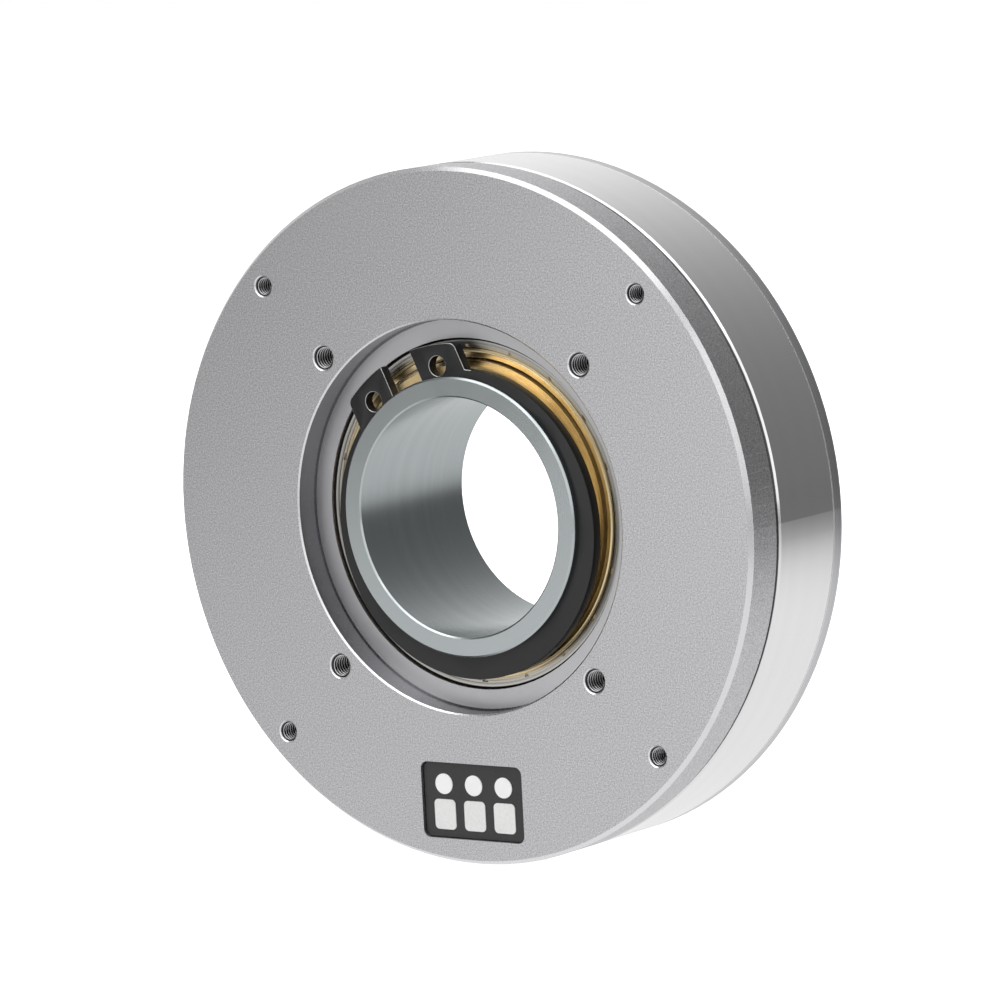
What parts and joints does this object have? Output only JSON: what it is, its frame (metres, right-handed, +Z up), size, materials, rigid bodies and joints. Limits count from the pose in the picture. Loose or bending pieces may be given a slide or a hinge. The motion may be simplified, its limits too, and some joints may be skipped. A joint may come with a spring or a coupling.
{
  "type": "hollow-shaft gimbal motor",
  "caption": "Flat brushless gimbal motor with a hollow shaft, a fixed front base with threaded mounting holes and a solder-pad window, and a turning rear rotor.",
  "frame": {"origin": "on the motor's axis, in the plane of the base's front mounting face", "axes": "Y is the motor's axis and -Y is the way the mounting face looks; +Z is up as the motor stands on its rim, with the pad window at the bottom; X is to the right, seen from the front"},
  "size_m": [0.087, 0.0219, 0.087],
  "materials": {
    "anodised_aluminium": "bead-blasted and clear anodised",
    "turned_aluminium": "fine-turned and clear anodised",
    "polished_steel": "polished, nickel plated",
    "shaft_steel": "satin ground",
    "bearing_steel": "ground and polished",
    "shield_steel": "bright pressed sheet",
    "black_spring_steel": "black phosphate",
    "brass": "bright turned",
    "black_board": "black solder mask",
    "tinned_pad": "tinned",
    "white_ink": "printed dot",
    "copper": "enamelled copper wire and strip",
    "lamination_steel": "coated laminations",
    "magnet_nickel": "nickel plated",
    "cage_nylon": "moulded",
    "screw_steel": "blackened"
  },
  "bodies": {
    "stator": {"base_housing": "anodised_aluminium", "pad_board": "black_board", "solder_pads": "tinned_pad", "pad_dots": "white_ink", "phase_leads": "copper", "front_outer_ring": "bearing_steel", "front_shield": "shield_steel", "rear_outer_ring": "bearing_steel", "rear_shield": "shield_steel", "stator_core": "lamination_steel", "coils": "copper"},
    "rotor": {"hollow_shaft": "shaft_steel", "circlip": "black_spring_steel", "brass_spacer": "brass", "front_inner_ring": "bearing_steel", "spacer_sleeve": "shaft_steel", "rear_inner_ring": "bearing_steel", "rotor_ring": "polished_steel", "magnets": "magnet_nickel", "rear_cover": "turned_aluminium", "cover_screws": "screw_steel"},
    "front_ball_set": {"front_cage": "cage_nylon", "front_balls": "bearing_steel"},
    "rear_ball_set": {"rear_cage": "cage_nylon", "rear_balls": "bearing_steel"}
  },
  "joints": [
    {"name": "rotor_spin", "type": "hinge", "parent": "stator", "child": "rotor", "pos_m": [0, 0.01, 0], "axis": [0, 1, 0], "continuous": true},
    {"name": "front_ball_roll", "type": "hinge", "parent": "stator", "child": "front_ball_set", "pos_m": [0, 0.0065, 0], "axis": [0, 1, 0], "continuous": true},
    {"name": "rear_ball_roll", "type": "hinge", "parent": "stator", "child": "rear_ball_set", "pos_m": [0, 0.0141, 0], "axis": [0, 1, 0], "continuous": true}
  ],
  "couplings": [
    {"joint": "front_ball_roll", "follows": "rotor_spin", "ratio": 0.4699},
    {"joint": "rear_ball_roll", "follows": "rotor_spin", "ratio": 0.4699}
  ]
}
